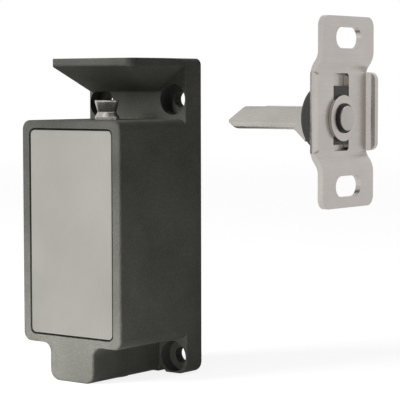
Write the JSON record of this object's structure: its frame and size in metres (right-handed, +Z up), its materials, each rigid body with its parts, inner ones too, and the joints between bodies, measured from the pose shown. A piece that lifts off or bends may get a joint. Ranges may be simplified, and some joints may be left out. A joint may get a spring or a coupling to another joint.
{
  "type": "electromechanical cabinet lock",
  "caption": "Solenoid cabinet lock: die-cast box with a hood over a sprung latch and a stainless face plate, with its bracket-mounted self-aligning striker bolt.",
  "frame": {"origin": "on the lock's mounting face, midway between the four fixing holes", "axes": "+X across the lock towards the striker, +Y out of the mounting face into the wall, +Z up"},
  "size_m": [0.0956, 0.0351, 0.0968],
  "materials": {
    "powder_coat": "fine-textured dark grey powder coat",
    "brushed_stainless": "brushed along its height",
    "black_sheet": "black oxide",
    "zinc_screw": "zinc plated",
    "rubber": "matt black",
    "polished_steel": "polished",
    "plated_steel": "nickel plated, satin",
    "bronze": "sintered",
    "copper": "enamelled winding",
    "black_plastic": "moulded",
    "white_plastic": "moulded acetal",
    "green_plastic": "moulded",
    "board_green": "solder mask"
  },
  "bodies": {
    "lock_body": {"housing": "powder_coat", "front_plate": "brushed_stainless", "rear_cover": "black_sheet", "rear_cover_screw_1": "zinc_screw", "rear_cover_screw_2": "zinc_screw", "rear_cover_screw_3": "zinc_screw", "rear_cover_screw_4": "zinc_screw", "cable_grommet": "rubber", "latch_bushing": "bronze", "latch_spring": "plated_steel", "solenoid_frame": "plated_steel", "solenoid_bobbin": "black_plastic", "solenoid_coil": "copper", "solenoid_pole_piece": "plated_steel", "solenoid_screw_1": "zinc_screw", "solenoid_screw_2": "zinc_screw", "microswitch_body": "black_plastic", "microswitch_terminal_1": "bronze", "microswitch_terminal_2": "bronze", "microswitch_terminal_3": "bronze", "microswitch_screw_1": "zinc_screw", "microswitch_screw_2": "zinc_screw", "circuit_board": "board_green", "terminal_block": "green_plastic", "flyback_diode": "black_plastic", "board_screw_1": "zinc_screw", "board_screw_2": "zinc_screw"},
    "latch": {"latch_rod": "polished_steel", "latch_retaining_ring": "black_sheet", "latch_cam_collar": "white_plastic", "solenoid_plunger": "plated_steel", "plunger_pin": "polished_steel"},
    "switch_button": {"microswitch_button": "white_plastic"},
    "striker": {"striker_bracket": "plated_steel"},
    "floating_bolt": {"striker_bolt": "polished_steel", "rubber_cushion": "rubber", "slide_plate": "plated_steel", "float_slider": "black_plastic", "striker_washer": "plated_steel", "pin_lock_washer": "black_sheet", "bolt_pin": "polished_steel"}
  },
  "joints": [
    {"name": "latch_slide", "type": "slide", "parent": "lock_body", "child": "latch", "axis": [0, 0, -1], "range_m": [0, 0.0055], "stiffness_N_per_m": 300, "springref_m": -0.006, "deforming": ["latch_spring"]},
    {"name": "switch_press", "type": "slide", "parent": "lock_body", "child": "switch_button", "axis": [1, 0, 0], "range_m": [0, 0.0012]},
    {"name": "striker_slide", "type": "slide", "parent": "lock_body", "child": "striker", "axis": [-0.9973, 0, 0.0735], "range_m": [0, 0.0408]},
    {"name": "bolt_float", "type": "slide", "parent": "striker", "child": "floating_bolt", "axis": [0, 0, 1], "range_m": [0, 0.003]}
  ],
  "couplings": [
    {"joint": "switch_press", "follows": "latch_slide", "ratio": 0.2}
  ]
}
